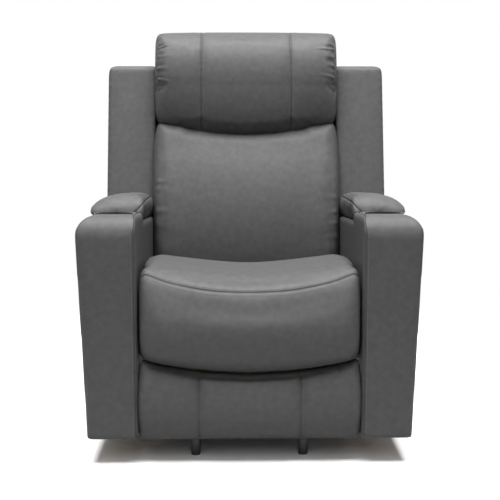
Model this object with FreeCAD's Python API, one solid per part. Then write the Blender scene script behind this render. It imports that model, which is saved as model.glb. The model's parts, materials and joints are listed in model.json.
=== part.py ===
import FreeCAD, Part
import math
import os

# Power lift recliner. Millimetres, +Z up, the sitter faces -Y. Right is +X, the viewer's right.
# The origin is on the floor under the middle of the chair. Places are given as
# (depth, height): depth is measured back from the arm fronts.

V = FreeCAD.Vector

# Overall
chair_width = 860.0
arm_width = 146.0
floor_gap = 68.0
arm_height = 634.0
arm_slope = 3.2
arm_taper = 21.0
arm_depth = 720.0
side_gap = 6.0
face_gap = 0.3
run_gap = 0.08

# Arms
outer_panel = 26.0
inner_panel = 20.0
front_panel = 26.0
deck_thickness = 22.0
base_board = 18.0
deck_length = 245.0
arm_outer_round = 50.0
arm_inner_round = 12.0
arm_front_round = 45.0
lid_drop = 26.0
lid_gap = 4.0
lid_clearance = 5.0
lid_crown = 30.0
lid_board = 12.0
hinge_radius = 3.0
hinge_leaf = 1.5
hinge_setback = 8.0
bin_width = 86.0
bin_depth = 180.0
bin_wall = 3.0
cup_setback = 125.0
cup_shift = 8.0
cup_bore = 42.0
cup_depth = 65.0
cup_wall = 2.0
cup_flange = 7.0
cup_flange_height = 3.0

# Back
back_pivot = (638.0, 270.0)
back_lean = 14.0
back_half = 70.0
wing_gap = 3.0
wing_height = 770.0
wing_corner = 16.0
cover_thickness = 8.0
cover_top = 757.0
cover_low = 20.0
back_post = 40.0
back_post_inset = 84.0
back_frame_front = -10.0
back_frame_rear = 25.0
back_rails = (40.0, 360.0, 690.0)
back_rail_height = 50.0
back_stays = (250.0, 640.0)
back_stay_height = 40.0
back_post_low = -30.0
back_post_top = 740.0
back_bracket_length = 150.0
back_bracket_half = 22.0
back_bracket_shift = 14.0
strap_low = 110.0
strap_pitch = 118.0
strap_width = 50.0
webbing_thickness = 2.5
lumbar_low = 72.0
lumbar_high = 538.0
lumbar_front = 150.0
pillow_low = 548.0
pillow_bow = 42.0
pillow_high = 875.0
pillow_front = 166.0
pillow_seam = 137.0

# Seat
seat_base = 336.0
seat_crown_height = 468.0
seat_rear = 550.0
rail_thickness = 30.0
rail_front = 100.0
rail_rear = 560.0
rail_height = 74.0
cross_rail = 25.0
cross_rail_height = 32.0
front_rail = 110.0
mid_rail = 368.0
rail_drop = 10.0
spring_wire = 2.0
spring_half = 36.0
spring_spacing = 110.0
spring_count = 4
spring_turns = 7
seam_width = 12.0
seam_depth = 9.0

# Footrest
leg_pivot = (65.0, 370.0)
roll_radius = 75.0
roll_gap = 2.0
roll_bulge = 4.0
crease_height = 232.0
crease_bow = 34.0
pad_bulge = 3.0
pad_low = 58.0
pad_seam = 129.0
board_thickness = 15.0
board_front = 60.0
board_top = 330.0
board_low = 62.0
board_inset = 22.0
rocker_offset = (270.0, -150.0)
bracket_offset = (55.0, -95.0)
leg_crank = 30.0
leg_swing = 80.0

# Lift linkage
foot_height = 45.0
foot_top = 31.0
foot_bottom = 24.0
foot_spread = 140.0
front_foot = 90.0
rear_foot = 670.0
base_rail_height = 25.0
base_rail_width = 45.0
base_rail_overlap = 1.0
base_front = 77.0
base_rear = 705.0
front_link_base = (118.0, 92.0)
front_link_chair = (569.0, 142.0)
rear_link_base = (195.0, 112.0)
rear_link_chair = (690.0, 150.0)
open_slide = 2.2
open_rise = 0.7
lift_eye_play = 3.6
recline_eye_play = 2.8
leg_slot_play = 1.9
link_plate = 5.0
link_half = 16.0
plate = 5.0
hinge_half = 14.0
layer_gap = 2.0
shaft_radius = 14.0
rocker_shaft_radius = 12.0
pin = 7.0
rear_pin = 6.0
back_pin = 8.0
stop_depth = 430.0
stop_radius = 4.5

# Actuators
lift_rear = (668.0, 96.0)
lift_crank = 100.0
lift_crank_angle = 72.0
recline_front = (380.0, 268.0)
recline_crank = 95.0
recline_crank_angle = -72.0
leg_rear_depth = 548.0
side_motor = 95.0
actuator_pin = 6.0
crank_pin = 5.0
eye_radius = 14.0
eye_half = 10.0
ear_gap = 1.0
rod_eye_radius = 16.0
rod_eye_half = 8.0
cheek_gap = 1.0
fork_half = 14.0
fork_slot = 5.0
fork_depth = 28.0
leg_crank_half = 3.0
gearbox_size = (60.0, 46.0)
neck_height = 34.0
track_radius = 18.0
track_wall = 4.0
rod_radius = 10.0
rod_head = 12.0
motor_radius = 25.0
motor_length = 150.0
motor_offset = 52.0

# Controls
switch_depth = 190.0
switch_height = 470.0
switch_size = (64.0, 84.0)
switch_proud = 2.0
button_radius = 9.0
button_pitch = 27.0
button_proud = 2.0

inner_half = chair_width / 2 - arm_width
outer_half = chair_width / 2
side_plate = inner_half - rail_thickness - plate
base_rail_outer = side_plate + base_rail_overlap
back_post_inner = inner_half - back_post_inset
lean = math.radians(back_lean)
slope = math.radians(arm_slope)
base_top = foot_height + base_rail_height
rear_reach = back_pivot[0] + (back_half + cover_thickness) * math.cos(lean) + cover_top * math.sin(lean)
roll_front = leg_pivot[0] - roll_radius - roll_bulge
front_y = -(rear_reach + roll_front) / 2

# Layers of the linkage across the chair, from the side plates inwards
front_link_x = side_plate - layer_gap - link_plate
shaft_lug_x = front_link_x - layer_gap - plate
rear_link_x = shaft_lug_x - 1 - link_plate
rear_lug_x = rear_link_x - layer_gap - plate
leg_hinge_x = rear_lug_x + plate - 1
leg_bracket_x = leg_hinge_x - layer_gap - plate
push_bar_x = leg_bracket_x - layer_gap - plate
rocker_arm_x = push_bar_x - layer_gap - plate
rocker = (leg_pivot[0] + rocker_offset[0], leg_pivot[1] + rocker_offset[1])
leg_rear = (leg_rear_depth, rocker[1] + leg_crank)
ear_x = eye_half + ear_gap
cheek_x = rod_eye_half + cheek_gap


def chair_at(x, depth, height):
    return V(x, front_y + depth, height)


def back_at(x, y, z):
    return V(x, y, z)


def wire(path, x, at=chair_at):
    """A closed outline at one x: each step is a corner, or a pair (middle, end) for an arc."""
    first = at(x, *path[0])
    here = first
    edges = []
    for step in list(path[1:]) + [path[0]]:
        if isinstance(step[0], tuple):
            end = at(x, *step[1])
            edges.append(Part.Arc(here, at(x, *step[0]), end).toShape())
        else:
            end = at(x, *step)
            if (end - here).Length < 1e-6:
                continue
            edges.append(Part.LineSegment(here, end).toShape())
        here = end
    return Part.Wire(edges)


def prism(path, x0, x1, at=chair_at):
    return Part.Face(wire(path, x0, at)).extrude(V(x1 - x0, 0, 0))


def crowned(marks, section, at=chair_at):
    """A padded form drawn through one section at each mark and its mirror mark."""
    places = sorted({side * mark for mark in marks for side in (-1, 1)})
    return Part.makeLoft([wire(section(abs(x)), x, at) for x in places], True, True)


def drawn_in(share, power=5):
    """How far a padded side is drawn in: 0 over the middle, 1 at the very edge."""
    return 1 - (1 - min(share, 1.0) ** power) ** (1 / power)


def marks_across(half, *seams):
    """Where the sections of a padded form stand: close together at its edge and at its seams."""
    marks = [half * share for share in (0, 0.3, 0.6, 0.82, 0.92, 0.975, 1)]
    for seam in seams:
        marks = [mark for mark in marks if abs(mark - seam) > 2 * seam_width]
        marks += [seam - 2 * seam_width, seam - seam_width, seam, seam + seam_width, seam + 2 * seam_width]
    return sorted(marks)


def seam_dip(x, seam):
    return seam_depth * math.exp(-((x - seam) / seam_width) ** 2)


def box(x0, x1, d0, d1, z0, z1, at=chair_at):
    return Part.makeBox(x1 - x0, d1 - d0, z1 - z0, at(x0, d0, z0))


def cross_pin(place, x0, x1, radius, at=chair_at):
    return Part.makeCylinder(radius, x1 - x0, at(x0, *place), V(1, 0, 0))


def bar(p, q, radius, x0, x1, at=chair_at):
    """A flat link with round ends between two places."""
    run = math.hypot(q[0] - p[0], q[1] - p[1])
    u = ((q[0] - p[0]) / run * radius, (q[1] - p[1]) / run * radius)
    n = (-u[1], u[0])
    path = [
        (p[0] + n[0], p[1] + n[1]),
        ((p[0] - u[0], p[1] - u[1]), (p[0] - n[0], p[1] - n[1])),
        (q[0] - n[0], q[1] - n[1]),
        ((q[0] + u[0], q[1] + u[1]), (q[0] + n[0], q[1] + n[1])),
    ]
    return prism(path, x0, x1, at)


def lug(place, radius, foot, x0, x1):
    """An upright ear with a round top that stands on a flat at height foot."""
    d, z = place
    path = [(d - radius, foot), (d - radius, z), ((d, z + radius), (d + radius, z)), (d + radius, foot)]
    return prism(path, x0, x1)


def mirrored(shape):
    return shape.mirror(V(0, 0, 0), V(1, 0, 0))


def pair(shape):
    return Part.makeCompound([shape, mirrored(shape)])


def fuse(first, *others):
    for other in others:
        first = first.fuse(other)
    return first.removeSplitter()


def polar(place, radius, degrees):
    angle = math.radians(degrees)
    return (place[0] + radius * math.cos(angle), place[1] + radius * math.sin(angle))


def leaned(shape):
    """From the back's own upright frame, with the pivot at its origin, to its place in the chair."""
    shape = shape.copy()
    shape.rotate(V(0, 0, 0), V(1, 0, 0), -back_lean)
    shape.translate(chair_at(0, *back_pivot))
    return shape


def back_place(y, z):
    depth = back_pivot[0] + y * math.cos(lean) + z * math.sin(lean)
    return (depth, back_pivot[1] - y * math.sin(lean) + z * math.cos(lean))


def into_back(place):
    d = place[0] - back_pivot[0]
    z = place[1] - back_pivot[1]
    return (d * math.cos(lean) - z * math.sin(lean), d * math.sin(lean) + z * math.cos(lean))


def sloped(shape):
    """From the level frame of an arm top, with its front edge at the origin, to the sloping arm."""
    shape = shape.copy()
    shape.rotate(V(0, 0, 0), V(1, 0, 0), -arm_slope)
    shape.translate(chair_at(0, 0, arm_height))
    return shape


# Base and lift linkage
def base_parts():
    rail_inner = base_rail_outer - base_rail_width
    rear_tube = rear_foot - cross_rail / 2
    rail = box(rail_inner, base_rail_outer, base_front, base_rear, foot_height, base_top)
    front_cross = box(-rail_inner, rail_inner, base_front, base_front + cross_rail, foot_height, base_top)
    rear_cross = box(-rail_inner, rail_inner, rear_tube, rear_tube + cross_rail, foot_height, base_top)
    shaft_lug = lug(front_link_base, shaft_radius + 6, base_top, shaft_lug_x, shaft_lug_x + plate)
    shaft_lug = shaft_lug.cut(cross_pin(front_link_base, 0, outer_half, shaft_radius + run_gap))
    rear_lug = lug(rear_link_base, link_half, base_top, rear_lug_x, rear_lug_x + plate)
    rear_lug = rear_lug.cut(cross_pin(rear_link_base, 0, outer_half, pin + run_gap))
    motor_lug = lug(lift_rear, link_half, base_top, ear_x, ear_x + plate)
    motor_pin = cross_pin(lift_rear, -ear_x - plate, ear_x + plate, actuator_pin)
    motor_mount = fuse(motor_lug, mirrored(motor_lug), motor_pin)
    lugs = [shaft_lug, mirrored(shaft_lug), rear_lug, mirrored(rear_lug), motor_mount]
    frame = Part.makeCompound([rail, mirrored(rail), front_cross, rear_cross] + lugs)

    feet = []
    for depth in (front_foot, rear_foot):
        foot = Part.makeCone(foot_bottom / 2, foot_top / 2, foot_height, chair_at(foot_spread, depth, 0))
        feet += [foot, mirrored(foot)]

    share = (stop_depth - front_link_base[0]) / (front_link_chair[0] - front_link_base[0])
    rise = front_link_chair[1] - front_link_base[1]
    run = front_link_chair[0] - front_link_base[0]
    under = front_link_base[1] + share * rise - link_half * math.hypot(rise, run) / run
    under -= stop_radius * rise / run
    stop_x = front_link_x + link_plate / 2
    stop = Part.makeCylinder(stop_radius, under - face_gap - base_top, chair_at(stop_x, stop_depth, base_top))
    return {"base_frame": frame, "base_feet": Part.makeCompound(feet), "rest_stops": pair(stop)}


def lift_parts():
    link_out = front_link_x + link_plate
    crank_end = polar(front_link_base, lift_crank, lift_crank_angle)
    cheek = bar(front_link_base, crank_end, link_half, cheek_x, cheek_x + plate)
    shaft = fuse(
        cross_pin(front_link_base, -front_link_x, front_link_x, shaft_radius),
        cheek,
        mirrored(cheek),
        cross_pin(crank_end, -cheek_x - plate, cheek_x + plate, crank_pin),
    )
    front_link = fuse(
        bar(front_link_base, front_link_chair, link_half, front_link_x, link_out),
        cross_pin(front_link_chair, link_out, side_plate + plate, pin),
    )
    rear_out = rear_link_x + link_plate
    rear_link = fuse(
        bar(rear_link_base, rear_link_chair, link_half - 1, rear_link_x, rear_out),
        cross_pin(rear_link_base, rear_lug_x, rear_link_x, pin),
        cross_pin(rear_link_chair, rear_out, side_plate + plate, rear_pin),
    )
    return {
        "lift_shaft": shaft,
        "front_lift_links": pair(front_link),
        "rear_lift_links": pair(rear_link),
    }


def actuator(tail, nose, x, motor_side, housing, track_end, rod_start, tip_half, tip_length, eye_hole):
    """Gear housing with its motor, guide tube and rod along the line from tail to nose."""
    run = math.hypot(nose[0] - tail[0], nose[1] - tail[1])
    clear = link_half + layer_gap
    wide, deep = gearbox_size
    reach = motor_offset + eye_radius
    drive = fuse(
        Part.makeCylinder(eye_radius, 2 * eye_half, V(-eye_half, 0, 0), V(1, 0, 0)),
        Part.makeBox(2 * eye_half, 2 * eye_radius, clear, V(-eye_half, -eye_radius, 0)),
        Part.makeBox(wide, deep, housing - clear, V(-wide / 2, -deep / 2, clear)),
        Part.makeBox(reach, deep, neck_height, V(min(0, motor_side * reach), -deep / 2, clear)),
        Part.makeCylinder(motor_radius, motor_length, V(motor_side * motor_offset, 0, clear)),
    )
    drive = drive.cut(Part.makeCylinder(actuator_pin + run_gap, wide, V(-wide / 2, 0, 0), V(1, 0, 0)))

    inner = track_radius - track_wall
    floor = housing + track_wall
    track = Part.makeCylinder(track_radius, track_end - housing, V(0, 0, housing))
    track = track.cut(Part.makeCylinder(inner, track_end - rod_head - floor, V(0, 0, floor)))
    track = track.cut(Part.makeCylinder(rod_radius + run_gap, track_end, V(0, 0, floor)))

    rod = fuse(
        Part.makeCylinder(rod_radius, run - tip_length - rod_start, V(0, 0, rod_start)),
        Part.makeCylinder(inner - face_gap, rod_head, V(0, 0, rod_start)),
        Part.makeBox(2 * tip_half, 2 * rod_radius, tip_length, V(-tip_half, -rod_radius, run - tip_length)),
        Part.makeCylinder(rod_eye_radius, 2 * tip_half, V(-tip_half, 0, run), V(1, 0, 0)),
    )
    rod = rod.cut(Part.makeCylinder(eye_hole, 4 * tip_half, V(-2 * tip_half, 0, run), V(1, 0, 0)))

    turn = FreeCAD.Rotation(V(0, 0, 1), V(0, nose[0] - tail[0], nose[1] - tail[1]))
    placement = FreeCAD.Placement(chair_at(x, *tail), turn)
    shapes = []
    for shape in (drive, track, rod):
        shape.Placement = placement.multiply(shape.Placement)
        shapes.append(shape)
    return shapes


def lift_actuator_parts():
    nose = polar(front_link_base, lift_crank, lift_crank_angle)
    eye = crank_pin + lift_eye_play
    motor, track, rod = actuator(lift_rear, nose, 0, 1, 118, 420, 130, rod_eye_half, 24, eye)
    return {"lift_motor": motor, "lift_track": track, "lift_rod": rod}


# Seat frame and mechanism plates
def seat_parts():
    rail_in = inner_half - rail_thickness
    rail = box(rail_in, inner_half, rail_front, rail_rear, seat_base - rail_height, seat_base)
    rail_top = seat_base - 2 * spring_wire
    low = rail_top - cross_rail_height
    front = box(-rail_in, rail_in, front_rail, front_rail + cross_rail, low, rail_top)
    rear_rail = rail_rear - cross_rail
    rail_low = low - rail_drop
    middle = box(-side_plate, side_plate, mid_rail, mid_rail + cross_rail, rail_low, rail_top - rail_drop)
    rear = box(-side_plate, side_plate, rear_rail, rail_rear, rail_low, rail_top)

    hinge_end = leg_hinge_x + plate
    hinge_lug = bar(leg_pivot, (front_rail - 4, low + 12), hinge_half, leg_hinge_x, hinge_end)
    hinge_foot = box(leg_hinge_x, rail_in, front_rail - plate, front_rail, low, rail_top)
    behind = box(0, outer_half, front_rail, rail_rear, 0, arm_height)
    hinge = fuse(hinge_lug.cut(behind), hinge_foot)
    hinge = hinge.cut(cross_pin(leg_pivot, 0, outer_half, pin + run_gap))

    outline = [
        (rocker[0] - 32, seat_base - 6),
        (rocker[0] - 32, rocker[1] - 28),
        (rocker[0] + 30, rocker[1] - 28),
        (front_link_chair[0] - 24, front_link_chair[1] - 24),
        (front_link_chair[0] + 20, front_link_chair[1] - 26),
        (rear_link_chair[0] + 12, rear_link_chair[1] - 26),
        (rear_link_chair[0] + 26, rear_link_chair[1] + 12),
        (back_pivot[0] + 30, back_pivot[1] + 10),
        (back_pivot[0] + 22, back_pivot[1] + 30),
        (back_pivot[0] - 24, back_pivot[1] + 30),
        (rail_rear, seat_base - 6),
    ]
    mech = prism(outline, side_plate, side_plate + plate)
    for place, radius in ((front_link_chair, pin), (back_pivot, back_pin), (rocker, rocker_shaft_radius)):
        mech = mech.cut(cross_pin(place, 0, outer_half, radius + run_gap))
    slot_low = (rear_link_chair[0] - open_slide, rear_link_chair[1])
    slot_high = (rear_link_chair[0] + open_slide, rear_link_chair[1])
    mech = mech.cut(bar(slot_low, slot_high, rear_pin + open_rise, 0, outer_half))

    brackets = []
    for place, x in ((recline_front, -side_motor), (leg_rear, side_motor)):
        d, z = place
        ear = [
            (d - link_half, rail_low),
            (d - link_half, z),
            ((d, z - link_half), (d + link_half, z)),
            (d + link_half, rail_low),
        ]
        ear_end = ear_x + plate
        brackets.append(
            fuse(
                prism(ear, x - ear_end, x - ear_x),
                prism(ear, x + ear_x, x + ear_end),
                box(x - ear_x, x + ear_x, d - 8, d + 8, rail_low - plate, rail_low),
                cross_pin(place, x - ear_end, x + ear_end, actuator_pin),
            )
        )
    return {
        "seat_frame": Part.makeCompound([rail, mirrored(rail), front, middle, rear]),
        "side_plates": pair(mech),
        "footrest_hinges": pair(hinge),
        "motor_brackets": Part.makeCompound(brackets),
        "seat_springs": seat_springs(rail_top, rear_rail),
    }


def seat_springs(rail_top, rear_rail):
    """Zigzag wire springs that lie on the front and rear rails."""
    start = front_rail + 2 * spring_wire
    end = rear_rail + cross_rail - 2 * spring_wire
    pitch = (end - start) / spring_turns
    bend = pitch / 2
    height = rail_top + spring_wire
    springs = []
    for index in range(spring_count):
        x = (index - (spring_count - 1) / 2) * spring_spacing
        here = x - spring_half
        pieces = []
        for turn in range(spring_turns + 1):
            side = 1 if turn % 2 == 0 else -1
            depth = start + turn * pitch
            corner = x + side * (spring_half - bend)
            pieces.append(cross_pin((depth, height), min(here, corner), max(here, corner), spring_wire))
            if turn < spring_turns:
                loop = Part.makeTorus(bend, spring_wire, V(0, 0, 0), V(0, 0, 1), 0, 360, 180)
                loop.rotate(V(0, 0, 0), V(0, 0, 1), -90 * side)
                loop.translate(chair_at(corner, depth + bend, height))
                pieces.append(loop)
            here = corner
        springs.append(fuse(*pieces))
    return Part.makeCompound(springs)


def seat_cushion_part():
    reach = roll_radius + roll_gap
    base = seat_base + face_gap

    def section(angle, top, rear_top):
        rise = leg_pivot[1] - base
        low = (leg_pivot[0] + math.sqrt(reach ** 2 - rise ** 2), base)
        high = polar(leg_pivot, reach, angle)
        middle = polar(leg_pivot, reach, (angle - math.degrees(math.asin(rise / reach))) / 2)
        rear = (seat_rear - 22, rear_top)
        return [
            low,
            (middle, high),
            (((high[0] + rear[0]) / 2, top), rear),
            ((seat_rear - 3, rear_top - 22), (seat_rear, rear_top - 50)),
            (seat_rear - 6, base),
        ]

    half = inner_half - side_gap

    def across(x):
        edge = drawn_in(x / half)
        sag = 6 * (x / half) ** 2
        rear_top = seat_crown_height - 10 - 20 * edge
        return section(76 - 22 * edge, seat_crown_height - sag - 26 * edge, rear_top)

    return {"seat_cushion": crowned(marks_across(half), across)}


# Footrest
def footrest_parts():
    half = inner_half - side_gap
    back = board_front - face_gap

    def roll_section(inset, droop):
        radius = roll_radius - inset
        rear = leg_pivot[0] - 21
        start = 180 - math.degrees(math.acos(21 / radius))
        front = leg_pivot[0] - radius
        return [
            (back, crease_height + droop),
            (back, board_top - 12),
            (rear, board_top - 4),
            polar(leg_pivot, radius, start),
            (polar(leg_pivot, radius, (start + 180) / 2), (front, leg_pivot[1])),
            ((front - roll_bulge, leg_pivot[1] - 45), (front + 4, leg_pivot[1] - 80)),
            ((front + 14, crease_height + droop + 12), (front + 32, crease_height + droop)),
        ]

    def roll_across(x):
        return roll_section(13 * drawn_in(x / half), crease_bow * (x / half) ** 2)

    roll = crowned(marks_across(half), roll_across)
    lip_radius = roll_radius - 1
    lip = [
        (leg_pivot[0] - 36, leg_pivot[1] + 22),
        (leg_pivot[0] + 10, leg_pivot[1] + 26),
        polar(leg_pivot, lip_radius, 76),
        (polar(leg_pivot, lip_radius, 95), polar(leg_pivot, lip_radius, 114)),
    ]
    lip_half = half - 6
    roll = roll.fuse(prism(lip, -lip_half, lip_half))

    def pad_section(bulge, droop):
        top = crease_height + droop - 3
        return [
            (back, pad_low),
            (back, top),
            (30, top),
            ((bulge, (pad_low + top) / 2), (26, pad_low)),
        ]

    def pad_across(x):
        bulge = 17 * drawn_in(x / half) + seam_dip(x, pad_seam) - pad_bulge
        return pad_section(bulge, crease_bow * (x / half) ** 2)

    pad = crowned(marks_across(half, pad_seam), pad_across)

    board_half = inner_half - board_inset
    board_back = board_front + board_thickness
    board = box(-board_half, board_half, board_front, board_back, board_low, board_top)

    push = (leg_pivot[0] + bracket_offset[0], leg_pivot[1] + bracket_offset[1])
    knee = (rocker[0] + bracket_offset[0], rocker[1] + bracket_offset[1])
    x = leg_bracket_x
    foot_low = board_low + 100
    foot = box(x - 14, x, board_back, board_back + 4, foot_low, board_top - 4)
    web = [
        (board_back, foot_low),
        (push[0] + 8, push[1] - 12),
        (push[0] + 12, push[1] + 4),
        (front_rail - 6, push[1] + 21),
        (board_back + 10, board_top),
        (leg_pivot[0] + hinge_half, leg_pivot[1]),
        ((leg_pivot[0], leg_pivot[1] + hinge_half), (leg_pivot[0] - hinge_half, leg_pivot[1])),
        (leg_pivot[0] - 8, board_top + 0.5),
        (board_back, board_top + 0.5),
    ]
    bracket = fuse(prism(web, x, x + plate), foot, cross_pin(leg_pivot, x, leg_hinge_x + plate, pin))
    bracket = bracket.cut(cross_pin(push, 0, outer_half, pin + run_gap))

    push_bar = fuse(
        bar(knee, push, 10, push_bar_x, push_bar_x + plate),
        cross_pin(push, push_bar_x + plate, x + plate, pin),
        cross_pin(knee, rocker_arm_x, push_bar_x, pin),
    )
    arm = bar(rocker, knee, link_half, rocker_arm_x, rocker_arm_x + plate)
    arm = arm.cut(cross_pin(knee, 0, outer_half, pin + run_gap))
    rest_angle = 90 + leg_swing / 2
    crank_tip = polar(rocker, leg_crank / math.cos(math.radians(leg_swing / 2)) + 4, rest_angle)
    crank_start = side_motor - leg_crank_half
    crank_end = side_motor + leg_crank_half
    crank = bar(rocker, crank_tip, crank_pin + 8, crank_start, crank_end)
    slot_low = polar(rocker, leg_crank - 2, rest_angle)
    crank = crank.cut(bar(slot_low, crank_tip, crank_pin + leg_slot_play, crank_start - 5, crank_end + 5))
    shaft_half = side_plate + plate
    tube = cross_pin(rocker, -shaft_half, shaft_half, rocker_shaft_radius)
    rocker_shaft = fuse(tube, arm, mirrored(arm), crank)
    return {
        "footrest_board": board,
        "calf_roll": roll,
        "footrest_pad": pad,
        "footrest_brackets": pair(bracket),
        "push_bars": pair(push_bar),
        "rocker_shaft": rocker_shaft,
    }


def footrest_actuator_parts():
    shift = leg_crank * math.tan(math.radians(leg_swing / 2))
    nose = (rocker[0] - shift, rocker[1] + leg_crank)
    tip = fork_depth + 6
    motor, track, rod = actuator(leg_rear, nose, side_motor, -1, 70, 152, 127, fork_half, tip, crank_pin)
    slot = box(
        side_motor - fork_slot,
        side_motor + fork_slot,
        nose[0] - 2 * rod_eye_radius,
        nose[0] + fork_depth,
        nose[1] - 2 * rod_eye_radius,
        nose[1] + 2 * rod_eye_radius,
    )
    fork_pin = cross_pin(nose, side_motor - fork_half, side_motor + fork_half, crank_pin)
    return {"footrest_motor": motor, "footrest_track": track, "footrest_rod": fuse(rod.cut(slot), fork_pin)}


# Arms
def arm_line(depth, drop=0.0):
    return arm_height - depth * math.tan(slope) - drop / math.cos(slope)


def lid_rear_place():
    """Where the line under the lids meets the sloping rear edge of the arms."""
    edge = back_half + wing_gap
    foot = back_place(-edge, 0)
    t = (arm_line(foot[0], lid_drop) - foot[1]) / (math.cos(lean) + math.tan(slope) * math.sin(lean))
    return (foot[0] + t * math.sin(lean), foot[1] + t * math.cos(lean))


def outer_x(height):
    """The outer face of the arm leans in towards the floor."""
    top = arm_height - arm_outer_round
    return outer_half - arm_taper * (top - height) / (top - floor_gap)


def arm_section(inset):
    """The arm's cross-section as an x and height outline, cut in by inset on its outer side."""
    lead = 20.0
    top = arm_height + lead * math.tan(slope)
    flat = outer_half - inset
    low = outer_x(0) - inset
    inner_corner = arm_inner_round * (1 - math.sqrt(0.5))
    outer_corner = arm_outer_round * (1 - math.sqrt(0.5))
    points = [
        Part.LineSegment(V(inner_half, -lead, 0), V(inner_half, -lead, top - arm_inner_round)),
        Part.Arc(
            V(inner_half, -lead, top - arm_inner_round),
            V(inner_half + inner_corner, -lead, top - inner_corner),
            V(inner_half + arm_inner_round, -lead, top),
        ),
        Part.LineSegment(V(inner_half + arm_inner_round, -lead, top), V(flat - arm_outer_round, -lead, top)),
        Part.Arc(
            V(flat - arm_outer_round, -lead, top),
            V(flat - outer_corner, -lead, top - outer_corner),
            V(flat, -lead, top - arm_outer_round),
        ),
        Part.LineSegment(V(flat, -lead, top - arm_outer_round), V(low, -lead, 0)),
        Part.LineSegment(V(low, -lead, 0), V(inner_half, -lead, 0)),
    ]
    face = Part.Face(Part.Wire([edge.toShape() for edge in points]))
    face.translate(V(0, front_y, 0))
    reach = arm_depth + 60
    return face.extrude(V(0, reach, -reach * math.tan(slope)))


def arm_parts():
    edge = back_half + wing_gap
    rear = lid_rear_place()
    foot = back_place(-edge, 0)
    round_end = arm_front_round * (1 - math.sqrt(0.5))
    side = [
        (0, floor_gap),
        (0, arm_height - arm_front_round),
        ((round_end, arm_height - round_end), (arm_front_round, arm_line(arm_front_round))),
        (deck_length, arm_line(deck_length)),
        (deck_length, arm_line(deck_length, lid_drop)),
        rear,
        foot,
        (polar(back_pivot, edge, 180 + 38), (back_pivot[0], back_pivot[1] - edge)),
        (arm_depth, back_pivot[1] - edge),
        (arm_depth, floor_gap),
    ]
    envelope = arm_section(0).common(prism(side, inner_half - 5, outer_half + 5))
    core = arm_section(outer_panel).common(box(inner_half + inner_panel, outer_half, -50, 900, 0, 900))
    outer_side = envelope.cut(arm_section(outer_panel))
    inner_side = envelope.common(box(inner_half - 5, inner_half + inner_panel, -50, 900, 0, 900))
    filling = envelope.common(core)
    front = filling.common(box(0, outer_half, -50, front_panel, 0, 900))
    rest = filling.common(box(0, outer_half, front_panel, 900, 0, 900))
    deck_zone = [
        (front_panel, arm_line(front_panel, deck_thickness)),
        (front_panel, arm_height + 60),
        (deck_length, arm_height + 60),
        (deck_length, arm_line(deck_length, deck_thickness)),
    ]
    deck = rest.common(prism(deck_zone, inner_half, outer_half))
    floor = fuse(
        rest.common(box(0, outer_half, front_panel, arm_depth, floor_gap, floor_gap + base_board)),
        rest.common(box(0, outer_half, arm_depth - base_board, arm_depth, floor_gap, arm_height)),
    )

    cup_x = (inner_half + outer_half) / 2 - cup_shift
    hole = Part.makeCylinder(cup_bore + cup_wall + face_gap, 200, V(cup_x, cup_setback, -150))
    deck = deck.cut(sloped(hole))
    outer_side = outer_side.cut(sloped(hole))
    cup_top = cup_flange_height + face_gap
    bore_low = cup_top - cup_depth
    cup_low = bore_low - cup_wall
    cup = fuse(
        Part.makeCylinder(cup_bore + cup_wall, cup_top - cup_low, V(cup_x, cup_setback, cup_low)),
        Part.makeCylinder(cup_bore + cup_flange, cup_flange_height, V(cup_x, cup_setback, face_gap)),
    )
    cup = sloped(cup.cut(Part.makeCylinder(cup_bore, 200, V(cup_x, cup_setback, bore_low))))

    lid_end = (rear[0] * math.cos(slope) + (arm_height - rear[1]) * math.sin(slope)) - wing_gap
    lid_start = deck_length + lid_clearance
    bin_x = inner_half + inner_panel
    bin_rear = lid_end - bin_depth * (math.tan(lean) - math.tan(slope)) - 6
    bin_front = lid_start + 12
    bin_length = bin_rear - bin_front
    bin_low = -lid_drop - bin_depth
    shell = Part.makeBox(bin_width, bin_length, bin_depth, V(bin_x, bin_front, bin_low))
    hollow = Part.makeBox(
        bin_width - 2 * bin_wall,
        bin_length - 2 * bin_wall,
        bin_depth,
        V(bin_x + bin_wall, bin_front + bin_wall, bin_low + bin_wall),
    )
    storage = sloped(shell.cut(hollow))
    return {
        "outer_panel": outer_side,
        "inner_panel": inner_side,
        "front_panel": front,
        "deck": deck,
        "arm_base": floor,
        "cup_holder": cup,
        "storage_bin": storage,
        **lid_parts(lid_start, lid_end),
    }


def lid_parts(start, end):
    low = -lid_drop + lid_gap
    hinge_x = outer_half - hinge_radius - hinge_setback
    hinge_z = -lid_drop + hinge_radius
    barrel = Part.makeCylinder(hinge_radius, end - start - 40, V(hinge_x, start + 20, hinge_z), V(0, 1, 0))
    leaf = Part.makeBox(16, end - start - 40, hinge_leaf, V(hinge_x - 17, start + 20, -lid_drop))
    hinge = fuse(barrel, leaf)
    board_start = inner_half + 4
    board_end = hinge_x - hinge_radius - 2
    board = Part.makeBox(board_end - board_start, end - start - 8, lid_board, V(board_start, start + 4, low))
    pad_low = low + lid_board + face_gap

    def section(inset, droop):
        inner = inner_half + 2 + inset
        outer = outer_half - inset
        crown = lid_crown - droop
        return [
            (inner + 3, pad_low),
            ((inner, (pad_low + crown) / 2 - 4), (inner + 6, crown - 11)),
            ((inner + 46, crown), (outer - 52, crown - 4)),
            ((outer - 14, crown - 20), (outer - 0.5, pad_low + 3)),
            (outer - 4, pad_low),
        ]

    middle = (start + end) / 2
    half = (end - start) / 2

    def lid_at(x, y, z):
        return V(y, middle + x, z)

    def along(x):
        edge = drawn_in(x / half, 7)
        return section(4 * edge, 10 * edge)

    pad = crowned(marks_across(half), along, lid_at)
    return {"lid_hinge": sloped(hinge), "lid_board": sloped(board), "lid_pad": sloped(pad)}


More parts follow.
